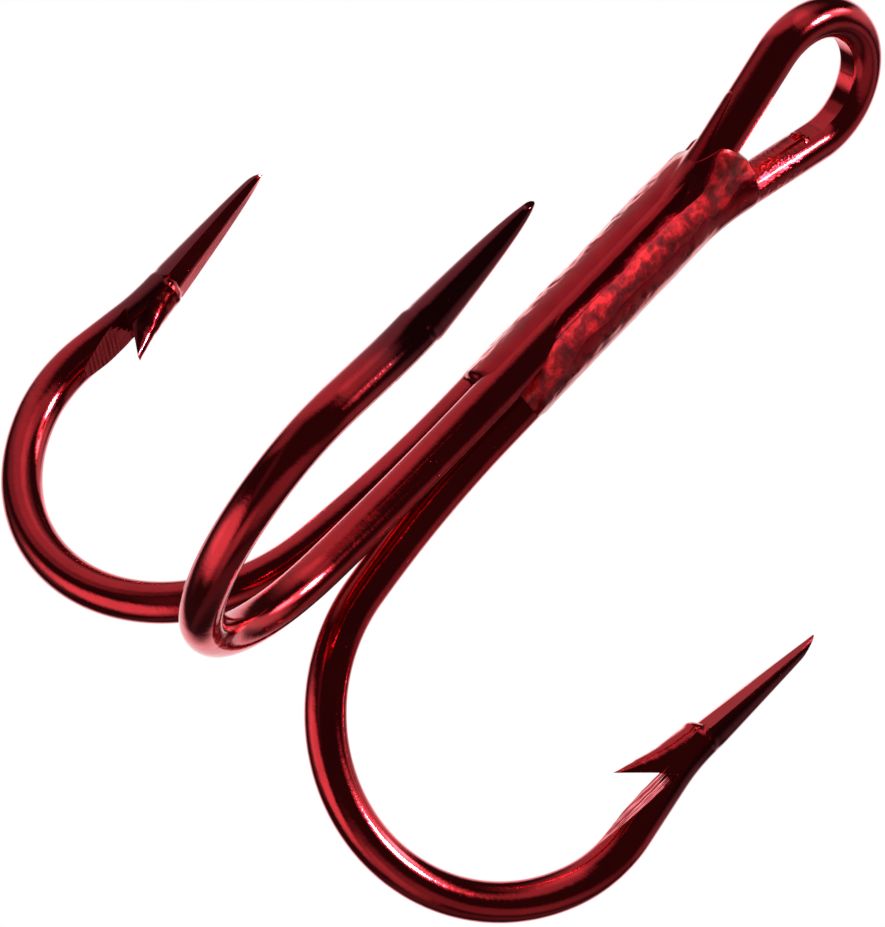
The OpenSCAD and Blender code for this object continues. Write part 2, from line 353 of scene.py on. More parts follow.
def barb_mesh(fr, end, seed):
    """The spur: rounded along its back, flat below, drawn out to a point."""
    ws = np.concatenate([np.linspace(4.98, 5.6, 14), np.linspace(5.65, end - 0.18, 46),
                         [end - 0.12, end - 0.07, end - 0.03, end - 0.005]])
    top_w = [4.9, 5.1, 5.25, 5.4, 5.62, 6.1, end - 1.9 + 0.2, end - 1.2, end - 0.6, end - 0.2, end]
    top_x = [0.30, 0.43, 0.60, 0.665, 0.67, 0.72, 0.78, 0.89, 1.01, 1.10, REACH + 0.005]
    order = np.argsort(top_w)
    top_w, top_x = np.array(top_w)[order], np.maximum.accumulate(np.array(top_x)[order])
    m = 32
    rings = []
    for w in ws:
        top = float(np.interp(w, top_w, top_x))
        slope = (REACH - ROOT[0]) / (end - ROOT[1])
        low = -0.12
        if w > ROOT[1] + 0.02:
            low = max(ROOT[0] + (w - ROOT[1]) * slope, -0.12)
        half = 0.64 * (1 - smooth(w, 6.8, end + 0.5) ** 0.9) * (0.86 + 0.14 * smooth(w, 4.9, 5.5)) + 0.012
        half = min(half, 0.03 + 0.36 * (end + 0.12 - w) ** 0.75)
        ring = []
        height = max(top - low, 0.004)
        for i in range(m):
            f = 2 * math.pi * i / m
            ca, sa = math.cos(f), math.sin(f)
            # nearly flat below, arched above
            a = ca ** 0.85 if ca > 0 else 0.1 * ca
            c = math.copysign(abs(sa) ** (1.0 if ca > 0 else 0.8), sa)
            ring.append((low + height * (0.09 + 0.91 * a), c * half, w))
        ring = np.array(ring)
        rough = noise(ring + np.array([0, 0, seed * 3.1]), 0.16, 5) * 0.010 + noise(ring, 0.42, 7) * 0.014
        fade = smooth(w, 4.98, 5.3) * (1 - smooth(w, end - 0.5, end))
        ring[:, 0] += np.where(ring[:, 0] > low + 0.3 * height, rough * fade, 0)
        # small burr where the spur lifts off
        burr = math.exp(-((w - 5.42) / 0.1) ** 2) * 0.022
        ring[:, 0] += np.where(ring[:, 0] > low + 0.7 * height, burr, 0)
        rings.append(place(ring, fr))
    return skin("barb", rings)


def notch_mesh(fr, end, seed, across, x3=-0.19):
    """The cut behind the barb, which runs out where the wire leans away. Its
    floor carries the marks of the cutter: scores along it, and on one hook
    mostly chatter across it."""
    x0, w0 = ROOT
    p2 = (x0 + 1.7 * (REACH - x0), w0 + 1.7 * (end - w0))
    w3 = w0 + 3.5
    ws = np.linspace(w0, w3, 150)
    ys = np.linspace(-1.0, 1.0, 81)
    W, Y = np.meshgrid(ws, ys, indexing="ij")
    floor = x0 + (x3 - x0) * (W - w0) / (w3 - w0)
    P = np.stack([Y.ravel(), W.ravel() * 0.05 + seed * 7.7, np.zeros(W.size)], 1)
    Q = np.stack([Y.ravel() * 0.5, W.ravel() + Y.ravel() * 0.25, np.full(W.size, seed * 3.3)], 1)
    along = noise(P, 0.06, 11) * 0.010 + noise(P, 0.17, 12) * 0.016
    wash = noise(Q, 0.3, 13) * 0.014
    ribs = np.sin((Q[:, 1] + 0.03 * noise(Q, 0.2, 15)) * 2 * math.pi / 0.19) * 0.004 * step(noise(Q, 0.5, 16), -0.5, 0.3)
    marks = (along * (0.35 if across else 1.0) + wash + (ribs if across else 0)).reshape(W.shape)
    fade = np.clip((W - w0) / 0.1, 0, 1) * np.clip((w3 - W) / 0.5, 0.25, 1)
    floor = floor + marks * fade
    # rounds the corner at the root of the barb
    floor = floor + 0.06 * np.exp(-(W - w0) / 0.06)
    upper = np.minimum(x0 + (W - w0) * (p2[0] - x0) / (p2[1] - w0),
                       p2[0] + (W - p2[1]) * (x3 - p2[0]) / (w3 - p2[1]))
    upper = np.maximum(upper, floor + 0.003)
    n, m = W.shape
    low = np.stack([floor.ravel(), Y.ravel(), W.ravel()], 1)
    top = np.stack([upper.ravel(), Y.ravel(), W.ravel()], 1)
    verts = place(np.concatenate([low, top]), fr)
    faces = []
    k = n * m
    for i in range(n - 1):
        for j in range(m - 1):
            a, b, c, d = i * m + j, i * m + j + 1, (i + 1) * m + j + 1, (i + 1) * m + j
            faces.append([a, b, c, d])
            faces.append([k + d, k + c, k + b, k + a])
    for i in range(n - 1):
        for j in (0, m - 1):
            a, d = i * m + j, (i + 1) * m + j
            faces.append([a, d, k + d, k + a])
    for j in range(m - 1):
        for i in (0, n - 1):
            a, b = i * m + j, i * m + j + 1
            faces.append([a, b, k + b, k + a])
    return new_object("notch", verts, faces)


def seat_mesh():
    """The disc pressed into the inside of the eye. On the right leg the press
    has run on a little way and stopped, which leaves a small step."""
    pts = []
    for i in range(0, 221):
        h = -EYE_LEAN - 2 + (180 + 2 * EYE_LEAN + 4) * i / 220
        pts.append((SEAT_R * cosd(h), SEAT_R * sind(h)))
    # the run-on along the right leg
    d = np.array([-sind(EYE_LEAN), -cosd(EYE_LEAN)])
    side = np.array([cosd(EYE_LEAN), -sind(EYE_LEAN)])
    start = side * SEAT_R
    run = [start + d * s for s in (0.66, 0.5, 0.3, 0.12)]
    outline = [tuple(start + d * 0.72 - side * 0.16)] + [tuple(r) for r in run] + pts
    outline.append((-1.0, -1.1))
    outline.append((0.6, -1.6))
    n = len(outline)
    rows = []
    for y in (-1.2, 1.2):
        rows.append([(x, y, z) for x, z in outline])
    verts = rows[0] + rows[1]
    faces = [list(range(n)), [n + i for i in range(n)]]
    for i in range(n):
        j = (i + 1) % n
        faces.append([i, j, n + j, n + i])
    return new_object("seat", verts, faces)


# ---------------------------------------------------------------------------
# The two wires
# ---------------------------------------------------------------------------
rx, ry, raz, rlift, rmore, rend = HOOKS["right"]
lx, ly, laz, llift, lmore, lend = HOOKS["left"]
bx, by, baz, blift, bmore, bend = HOOKS["back"]
right = half_wire(raz, rlift, rmore, raz)
left = [r * np.array([-1, 1, 1]) for r in half_wire(180 - laz, llift, lmore, raz, 0.8)]
double = skin("double_hook", right + list(reversed(left))[1:])
frames = {n: point_frame(*v) for n, v in HOOKS.items()}
carve(double, together("cuts", [notch_mesh(frames["right"], rend, 1, False, -0.34),
                                notch_mesh(frames["left"], lend, 2, False), seat_mesh()]), "DIFFERENCE")


def burr_mesh():
    """Lip of metal pushed up where the pressed seat stops on the right leg."""
    d = np.array([-sind(EYE_LEAN), -cosd(EYE_LEAN)])
    side = np.array([cosd(EYE_LEAN), -sind(EYE_LEAN)])
    foot = side * (EYE_R - WIRE_R) + d * 0.74
    rings = []
    for i in range(25):
        y = -0.42 + 0.84 * i / 24
        size = math.sqrt(max(0.0, 1 - (y / 0.44) ** 2)) + 0.05
        sag = 0.7 - math.sqrt(0.49 - y * y)
        c = foot + side * (0.05 + sag) + d * 0.05 * math.sin(y * 9)
        ring = []
        for j in range(16):
            f = 2 * math.pi * j / 16
            q = c + d * 0.13 * size * math.cos(f) + side * 0.13 * size * math.sin(f)
            ring.append((q[0], y, q[1]))
        rings.append(np.array(ring))
    return skin("burr", rings)


carve(double, together("barbs", [barb_mesh(frames["right"], rend, 1), barb_mesh(frames["left"], lend, 2),
                                 burr_mesh()]), "UNION")
tidy(double)

single = skin("single_hook", hook_rings(bx, by, baz, blift, bmore, 0.5)
              + shank_rings(bx, by, baz, -SHANK_DROP + blift, -BACK_DROP, 0.3)
              + [round_ring((bx, by, -BACK_DROP - 0.06), (1, 0, 0), (0, 1, 0), baz),
                 round_ring((bx, by, -BACK_DROP), (0.94, 0, 0), (0, 0.94, 0), baz)])
carve(single, notch_mesh(frames["back"], bend, 3, True), "DIFFERENCE")
carve(single, barb_mesh(frames["back"], bend, 3), "UNION")
tidy(single)


# ---------------------------------------------------------------------------
# Braze: wetted onto the wires, so each seam is the space where the wires melt
# together, meshed from a field of distances
# ---------------------------------------------------------------------------
def axis_points():
    """Centre lines of the three wires near the braze, as lists of points."""
    a = [(WIRE_R, 0, -19.0), (WIRE_R, 0, CROTCH_Z)]
    for i in range(1, 13):
        h = EYE_LEAN * i / 12
        a.append((WIRE_R + NECK_R * (1 - cosd(h)), 0, CROTCH_Z + NECK_R * sind(h)))
    a.append((LEG_X, 0, LEG_Z))
    b = [(-x, y, z) for x, y, z in a]
    c = [(0, ROW_Y, -19.0), (0, ROW_Y, -BACK_DROP)]
    return [np.array(a, float), np.array(b, float), np.array(c, float)]


AXES = axis_points()


def wire_distance(P, line):
    best = np.full(len(P), 1e9)
    for i in range(len(line) - 1):
        a, d = line[i], line[i + 1] - line[i]
        t = np.clip(((P - a) @ d) / (d @ d), 0, 1)
        best = np.minimum(best, np.linalg.norm(P - a - t[:, None] * d, axis=1))
    return best - WIRE_R


def melt(d1, d2, k):
    h = np.clip(0.5 + 0.5 * (d2 - d1) / k, 0, 1)
    return d2 * (1 - h) + d1 * h - k * h * (1 - h)


def nets(name, field, lo, hi, h):
    """Closed surface where field crosses zero, one vertex to a cell."""
    axes = [np.arange(lo[i], hi[i] + h, h) for i in range(3)]
    n = [len(a) for a in axes]
    G = np.stack(np.meshgrid(*axes, indexing="ij"), -1).reshape(-1, 3)
    F = np.empty(len(G))
    for s in range(0, len(G), 200000):
        F[s:s + 200000] = field(G[s:s + 200000])
    F = F.reshape(n)
    F[0], F[-1] = 1, 1
    F[:, 0], F[:, -1] = 1, 1
    F[:, :, 0], F[:, :, -1] = 1, 1
    inside = F < 0
    acc = np.zeros((n[0] - 1, n[1] - 1, n[2] - 1, 3))
    cnt = np.zeros((n[0] - 1, n[1] - 1, n[2] - 1))
    quads = []
    for ax in range(3):
        sl0 = [slice(None)] * 3
        sl1 = [slice(None)] * 3
        sl0[ax], sl1[ax] = slice(0, -1), slice(1, None)
        a, b = F[tuple(sl0)], F[tuple(sl1)]
        cross = (a < 0) != (b < 0)
        idx = np.argwhere(cross)
        fa, fb = a[cross], b[cross]
        t = fa / (fa - fb)
        o1, o2 = [i for i in range(3) if i != ax]
        pos = idx.astype(float)
        pos[:, ax] += t
        cells = []
        for d1, d2 in ((0, 0), (-1, 0), (-1, -1), (0, -1)):
            c = idx.copy()
            c[:, o1] += d1
            c[:, o2] += d2
            cells.append(c)
            np.add.at(acc, (c[:, 0], c[:, 1], c[:, 2]), pos)
            np.add.at(cnt, (c[:, 0], c[:, 1], c[:, 2]), 1)
        quads.append((cells, fa < 0, ax))
    used = np.argwhere(cnt > 0)
    ids = -np.ones(cnt.shape, int)
    ids[used[:, 0], used[:, 1], used[:, 2]] = np.arange(len(used))
    V = acc[used[:, 0], used[:, 1], used[:, 2]] / cnt[used[:, 0], used[:, 1], used[:, 2]][:, None]
    V = V * h + np.array(lo)
    faces = []
    for cells, front, ax in quads:
        q = np.stack([ids[c[:, 0], c[:, 1], c[:, 2]] for c in cells], 1)
        flip = front if ax != 1 else ~front
        q[flip] = q[flip][:, ::-1]
        faces += q.tolist()
    return new_object(name, V, faces)


def braze_field(P, k_fill, film, weight, lumps=1.0):
    """Negative inside the braze: within film of the melted wires, outside the wires."""
    d = [wire_distance(P, a) for a in AXES]
    w = weight(P)
    k = 0.02 + k_fill(P) * w
    body = melt(melt(d[0], d[1], k), d[2], k)
    # the single hook's wire is cut off square
    cut = np.maximum(np.hypot(P[:, 0], P[:, 1] - ROW_Y) - WIRE_R, P[:, 2] + BACK_DROP)
    wires = np.minimum(np.minimum(d[0], d[1]), cut)
    n = 0.653 * P[:, 0] - 0.757 * P[:, 1]
    calm = 1 - 0.8 * step(n, -1.5, -1.3) * (1 - step(n, -0.35, 0.0))
    # lumpy only where there is metal to be lumpy
    depth = film(P)
    full = step(wires - body + depth, 0.0, 0.09)
    rough = ((noise(P, 0.13, 21) * 0.007 + noise(P, 0.33, 22) * 0.014) * calm * lumps
             + noise(P, 0.9, 23) * 0.012) * full
    # feathers out over the wire, then dives well below its surface
    w1, w2 = step(w, 0.3, 1.0), step(w, 0.0, 0.35)
    t = (depth + rough) * w1 - 0.03 * (1 - w1) - 0.17 * (1 - w2)
    return np.maximum(body - t, -(wires + 0.1))


def around(P, cx=0.0, cy=MID_Y):
    """Direction around the bundle, in degrees from 0 to 360."""
    return np.degrees(np.arctan2(P[:, 1] - cy, P[:, 0] - cx)) % 360


def wavy(P, scale, amount, seed):
    return noise(P * np.array([0.6, 0.6, 1.0]), scale, seed) * amount


def leg_x(z):
    """How far out the eye's leg stands at height z."""
    h = np.arcsin(np.clip((z - CROTCH_Z) / NECK_R, 0, sind(EYE_LEAN)))
    return np.where(z < NECK_Z, WIRE_R + NECK_R * (1 - np.cos(h)), LEG_X + (z - LEG_Z) * math.tan(math.radians(EYE_LEAN)))


def front_weight(P):
    """Front seam: the valley between the double hook's shanks, out over both
    shanks, and up between the legs of the eye."""
    az = around(P)
    az = np.where(az < 90, az + 360, az)
    edge = wavy(P, 1.1, 7, 31) + wavy(P, 0.35, 5, 32)
    z = P[:, 2] + wavy(P, 0.8, 0.16, 33) + wavy(P, 0.25, 0.07, 34)
    # on the left shank it draws back towards the valley near the eye
    start = 186 - 12 * step(P[:, 2], -6.2, -5.0) + 0.35 * edge
    side = step(az, start, start + 28) * (1 - step(az, 386 + edge, 404 + edge))
    # the lower end hangs lowest in the valley and over the right shank
    sag = 0.00016 * (az - 295) ** 2 + 1.1 * (1 - step(az, 205, 266))
    low = step(z, -BRAZE_DROP - 0.35 + sag, -BRAZE_DROP + 0.3 + sag)
    # the upper end is a saddle in the fork and a collar on the right leg
    xl = leg_x(P[:, 2])
    fork = (1 - step(np.abs(P[:, 0]), xl - 0.55, xl - 0.15)) * step(P[:, 2], -6.2, -5.4)
    top = np.interp(P[:, 0], [-1.9, -1.4, -1.0, -0.55, 0, 0.6, 1.2, 1.9], [-4.5, -4.05, -3.85, -3.6, -3.35, -3.42, -3.72, -4.1])
    high = 1 - step(P[:, 2] + wavy(P, 0.7, 0.04, 35), top - 0.22, top + 0.16)
    return np.maximum(side, fork) * low * high


def left_weight(P):
    """Seam between the single hook and the left shank. It closes over the
    single hook's cut end and runs on up the outside of the left leg."""
    az = around(P)
    edge = wavy(P, 0.8, 8, 41) + wavy(P, 0.28, 7, 42)
    z = P[:, 2] + wavy(P, 0.6, 0.25, 43)
    side = step(az, 80 + edge * 0.6, 101 + edge * 0.6) * (1 - step(az, 194 + edge * 0.25, 218 + edge * 0.25))
    low = step(z, -BRAZE_DROP - 0.95, -BRAZE_DROP - 0.45)
    high = 1 - step(z, -4.8, -3.4)
    cap = step(P[:, 1], 0.15, 0.5) * step(P[:, 2], -5.75, -5.35) * (1 - step(P[:, 2], -4.8, -3.4)) * (1 - step(P[:, 0], 0.35, 0.7))
    xl = leg_x(P[:, 2])
    lean = (-0.62 * (P[:, 0] + xl) + 0.78 * P[:, 1])
    t = np.clip((P[:, 2] + 5.0) / 2.8, 0, 1)
    tongue = (step(lean, 0.05 + 0.36 * t + 0.0 * lean, 0.30 + 0.36 * t) * step(P[:, 2], -6.0, -5.2)
              * (1 - step(z, -2.62, -2.3)) * step(P[:, 0] * -1, 0.2, 0.6))
    return np.maximum(np.maximum(side * low * high, cap), tongue)


def right_weight(P):
    az = around(P)
    az = np.where(az > 270, az - 360, az)
    edge = wavy(P, 0.8, 8, 51) + wavy(P, 0.3, 5, 52)
    z = P[:, 2] + wavy(P, 0.6, 0.22, 53)
    side = step(az, -4 + edge, 14 + edge) * (1 - step(az, 66 + edge, 84 + edge))
    low = step(z, -BRAZE_DROP - 0.5, -BRAZE_DROP - 0.1)
    high = 1 - step(z, -4.9, -4.5)
    return side * low * high


def largest(ob):
    """Keeps only the biggest closed shell."""
    me = ob.data
    n = len(me.vertices)
    e = np.zeros(len(me.edges) * 2, dtype=np.int64)
    me.edges.foreach_get("vertices", e)
    a, b = e[0::2], e[1::2]
    lab = np.arange(n)
    while True:
        m = np.minimum(lab[a], lab[b])
        new = lab.copy()
        np.minimum.at(new, a, m)
        np.minimum.at(new, b, m)
        new = new[new]
        if np.array_equal(new, lab):
            break
        lab = new
    keep = np.bincount(lab).argmax()
    bm = bmesh.new()
    bm.from_mesh(me)
    bm.verts.ensure_lookup_table()
    gone = [v for v, k in zip(bm.verts, lab) if k != keep]
    bmesh.ops.delete(bm, geom=gone, context="VERTS")
    bm.to_mesh(me)
    bm.free()
    return ob


def film_left(P):
    """Swollen out to the circle that touches both wires from outside; it
    thins over the single hook's cut end."""
    d = [wire_distance(P, a) for a in AXES]
    k = 0.02 + 1.22
    body = melt(melt(d[0], d[1], k), d[2], k)
    x, y = P[:, 0] - WIRE_R, P[:, 1]
    arc = np.hypot(x, y) - 3 * WIRE_R
    up = step(P[:, 2], -5.5, -4.7)
    swollen = np.clip(body - arc, -0.006, 0.3)
    swell = swollen * (1 - up) + 0.02 * up
    ragged = noise(P, 0.16, 45) * 0.022 + noise(P, 0.5, 46) * 0.02
    turn = np.abs(np.degrees(np.arctan2(y, x)))
    return swell + ragged * step(turn, 118, 127) * (1 - step(turn, 146, 158)) * (1 - up)


def fill_front(P):
    return np.interp(P[:, 2], [-15, -7, -5, -4, -3.4], [0.8, 0.88, 1.5, 2.0, 2.35])


def film_front(P):
    """Swollen out to the circle that touches both shanks from outside, with a
    thin film on over the right one and, near the fork, up the left leg."""
    d = [wire_distance(P, a) for a in AXES]
    k = 0.02 + fill_front(P)
    body = melt(melt(d[0], d[1], k), d[2], k)
    arc = np.hypot(P[:, 0], P[:, 1] - ROW_Y) - 3 * WIRE_R
    front = 1 - step(P[:, 1], -0.5, 0.0)
    swell = step(P[:, 2], -15.5, -14.9) * (1 - step(P[:, 2], -6.6, -5.0)) * front
    up = step(P[:, 2], -5.8, -4.6) * (1 - step(P[:, 0], -0.6, 0.2))
    right = step(0.653 * P[:, 0] - 0.757 * P[:, 1], 0.2, 0.7)
    return np.clip(body - arc, -0.006, 0.3) * swell + 0.024 * right + 0.045 * up - 0.006 * (1 - swell)


VOXEL = 0.05
front = largest(nets("braze_front", lambda P: braze_field(
    P, fill_front, film_front, front_weight),
    (-1.65, -1.2, -15.6), (2.1, 1.5, -2.7), VOXEL))
left_seam = largest(nets("braze_left", lambda P: braze_field(
    P, lambda q: 1.22 + 0 * q[:, 0], film_left, left_weight, 0.6),
    (-2.7, -0.7, -16.1), (0.9, 2.3, -1.9), VOXEL))
right_seam = largest(nets("braze_right", lambda P: braze_field(
    P, lambda q: 1.0 + 0 * q[:, 0], lambda q: -0.006 + 0.02 * noise(q, 0.8, 54), right_weight),
    (-0.1, -0.3, -15.7), (1.9, 2.2, -4.1), VOXEL))


def core_mesh():
    """Fill of the three-cornered channel between the wires."""
    rings = []
    for i in range(80):
        z = -BRAZE_DROP + (BRAZE_DROP + CROTCH_Z) * i / 79
        ring = []
        for j in range(36):
            f = 2 * math.pi * j / 36
            dx, dy = math.cos(f), math.sin(f)
            r = 0.29
            for cx, cy in ((WIRE_R, 0), (-WIRE_R, 0), (0, ROW_Y)):
                # first meeting of the ray with the wire
                ox, oy = 0 - cx, MID_Y - cy
                b = ox * dx + oy * dy
                c = ox * ox + oy * oy - (WIRE_R + 0.0) ** 2
                q = b * b - c
                if q > 0 and -b - math.sqrt(q) > 0:
                    r = min(r, -b - math.sqrt(q))
            ring.append((r * dx, MID_Y + r * dy, z))
        ring = np.array(ring)
        ring[:, 2] += noise(ring * np.array([1, 1, 0]) + np.array([0, 0, i * 0.01]), 0.15, 61) * 0.03
        rings.append(ring)
    return skin("braze_core_fill", rings)


core = core_mesh()
for ob in (front, left_seam, right_seam, core):
    me = ob.data
    me.polygons.foreach_set("use_smooth", [True] * len(me.polygons))
for ob in (front, left_seam, right_seam):
    sm = ob.modifiers.new("even", "CORRECTIVE_SMOOTH")
    sm.iterations, sm.use_only_smooth, sm.factor = 4, True, 0.5

# ---------------------------------------------------------------------------
# Materials
# ---------------------------------------------------------------------------
def material(name):
    m = bpy.data.materials.new(name)
    m.use_nodes = True
    nt = m.node_tree
    nt.nodes.clear()
    out = nt.nodes.new("ShaderNodeOutputMaterial")
    return m, nt, out


def add(nt, kind, **values):
    n = nt.nodes.new(kind)
    for k, v in values.items():
        if k.startswith("in_"):
            key = k[3:]
            key = int(key) if key.isdigit() else key.replace("_", " ")
            n.inputs[key].default_value = v
        else:
            setattr(n, k, v)
    return n


def ramp(nt, stops, fac):
    n = nt.nodes.new("ShaderNodeValToRGB")
    cr = n.color_ramp
    while len(cr.elements) > 1:
        cr.elements.remove(cr.elements[-1])
    cr.elements[0].position, cr.elements[0].color = stops[0][0], stops[0][1]
    for pos, col in stops[1:]:
        e = cr.elements.new(pos)
        e.color = col
    nt.links.new(fac, n.inputs["Fac"])
    return n


def noise_node(nt, coord, scale, detail=3.0, rough=0.55, distortion=0.0):
    n = add(nt, "ShaderNodeTexNoise", in_Scale=scale, in_Detail=detail, in_Roughness=rough, in_Distortion=distortion)
    nt.links.new(coord, n.inputs["Vector"])
    return n


def lacquer(name, base, dark, rough_lo, rough_hi, bump_fine, bump_wave, pits, outside, coat=0.5):
    """Translucent red lacquer over bright plating: a red mirror with a clear coat, thickness that drifts along the
    wire, fine orange peel and pits, and painted shade darkening the outward-facing sides of the points."""
    m, nt, out = material(name)
    tc = add(nt, "ShaderNodeTexCoord")
    coord = tc.outputs["Object"]
    drift = noise_node(nt, coord, 420, 4, 0.6)
    fine = noise_node(nt, coord, 9000, 3, 0.6)
    wave = noise_node(nt, coord, 1300, 2, 0.5)
    col = ramp(nt, [(0.3, (*dark, 1)), (0.62, (*base, 1))], drift.outputs["Fac"])
    rr = add(nt, "ShaderNodeMapRange", in_3=rough_lo, in_4=rough_hi)
    nt.links.new(wave.outputs["Fac"], rr.inputs[0])
    # pits: rare small holes in the lacquer
    vor = add(nt, "ShaderNodeTexVoronoi", in_Scale=1500.0)
    nt.links.new(coord, vor.inputs["Vector"])
    near = add(nt, "ShaderNodeMapRange", in_1=0.0, in_2=0.16, in_3=1.0, in_4=0.0)
    nt.links.new(vor.outputs["Distance"], near.inputs[0])
    sep = add(nt, "ShaderNodeSeparateColor")
    nt.links.new(vor.outputs["Color"], sep.inputs[0])
    rare = add(nt, "ShaderNodeMath", operation="GREATER_THAN")
    rare.inputs[1].default_value = 1.0 - pits
    nt.links.new(sep.outputs[0], rare.inputs[0])
    pit = add(nt, "ShaderNodeMath", operation="MULTIPLY")
    nt.links.new(near.outputs[0], pit.inputs[0])
    nt.links.new(rare.outputs[0], pit.inputs[1])
    h1 = add(nt, "ShaderNodeMath", operation="MULTIPLY_ADD")
    nt.links.new(wave.outputs["Fac"], h1.inputs[0])
    h1.inputs[1].default_value = bump_wave
    h2 = add(nt, "ShaderNodeMath", operation="MULTIPLY_ADD")
    nt.links.new(fine.outputs["Fac"], h2.inputs[0])
    h2.inputs[1].default_value = bump_fine
    nt.links.new(h1.outputs[0], h2.inputs[2])
    h3 = add(nt, "ShaderNodeMath", operation="MULTIPLY_ADD")
    nt.links.new(pit.outputs[0], h3.inputs[0])
    h3.inputs[1].default_value = -1.5 if pits else 0.0
    nt.links.new(h2.outputs[0], h3.inputs[2])
    # braze spatter on the right leg of the eye
    xyz = add(nt, "ShaderNodeSeparateXYZ")
    nt.links.new(coord, xyz.inputs[0])

    def between(fac, a, b):
        r = add(nt, "ShaderNodeMapRange", in_1=a, in_2=b)
        r.interpolation_type = "SMOOTHSTEP"
        nt.links.new(fac, r.inputs[0])
        return r.outputs[0]

    def times(a, b):
        t = add(nt, "ShaderNodeMath", operation="MULTIPLY")
        for i, v in enumerate((a, b)):
            if isinstance(v, float):
                t.inputs[i].default_value = v
            else:
                nt.links.new(v, t.inputs[i])
        return t.outputs[0]

    leg = times(times(between(xyz.outputs[2], -0.0050, -0.0040), between(xyz.outputs[2], -0.0014, -0.0026)),
                between(xyz.outputs[0], 0.0004, 0.0008))
    spatter = noise_node(nt, coord, 5200, 3, 0.65)
    h4 = add(nt, "ShaderNodeMath", operation="ADD")
    nt.links.new(times(times(spatter.outputs["Fac"], leg), 5.0), h4.inputs[0])
    nt.links.new(h3.outputs[0], h4.inputs[1])
    bump = add(nt, "ShaderNodeBump", in_Strength=1.0, in_Distance=0.00001)
    nt.links.new(h4.outputs[0], bump.inputs["Height"])
    # painted shade: sides of the points that face outward, far out and low down, are mixed toward a near-black red
    geo = add(nt, "ShaderNodeNewGeometry")
    flat = add(nt, "ShaderNodeVectorMath", operation="MULTIPLY")
    flat.inputs[1].default_value = (1, 1, 0)
    nt.links.new(geo.outputs["Position"], flat.inputs[0])
    far = add(nt, "ShaderNodeVectorMath", operation="LENGTH")
    nt.links.new(flat.outputs[0], far.inputs[0])
    away = add(nt, "ShaderNodeVectorMath", operation="NORMALIZE")
    nt.links.new(flat.outputs[0], away.inputs[0])
    facing = add(nt, "ShaderNodeVectorMath", operation="DOT_PRODUCT")
    nt.links.new(geo.outputs["Normal"], facing.inputs[0])
    nt.links.new(away.outputs[0], facing.inputs[1])
    painted_shade_points = times(times(between(far.outputs["Value"], 0.0085, 0.0095), between(xyz.outputs[2], -0.0225, -0.0195)),
                  between(facing.outputs["Value"], outside, outside + 0.4))
    shade = add(nt, "ShaderNodeMix", data_type="RGBA")
    nt.links.new(times(painted_shade_points, 0.8), shade.inputs[0])
    nt.links.new(col.outputs[0], shade.inputs[6])
    # painted shade colour: a near-black red
    shade.inputs[7].default_value = (0.10, 0.006, 0.016, 1)
    b = add(nt, "ShaderNodeBsdfPrincipled")
    b.inputs["Metallic"].default_value = 1.0
    nt.links.new(shade.outputs[2], b.inputs["Base Color"])
    nt.links.new(rr.outputs[0], b.inputs["Roughness"])
    nt.links.new(bump.outputs[0], b.inputs["Normal"])
    b.inputs["Specular Tint"].default_value = (1.0, 0.75, 0.8, 1)
    b.inputs["Coat Weight"].default_value = coat
    b.inputs["Coat Roughness"].default_value = 0.03
    b.inputs["Coat IOR"].default_value = 1.5
    nt.links.new(b.outputs[0], out.inputs["Surface"])
    return m


red = lacquer("hook_finish", (0.74, 0.019, 0.031), (0.58, 0.011, 0.021), 0.035, 0.075, 0.5, 1.6, 0.03, -0.05)
# the single hook's copy of the finish, with the painted shade spread further round its point
red_back_shaded = lacquer("hook_finish_back_shaded", (0.72, 0.018, 0.030), (0.55, 0.010, 0.020), 0.035, 0.08, 0.5, 1.8, 0.035, -0.7)


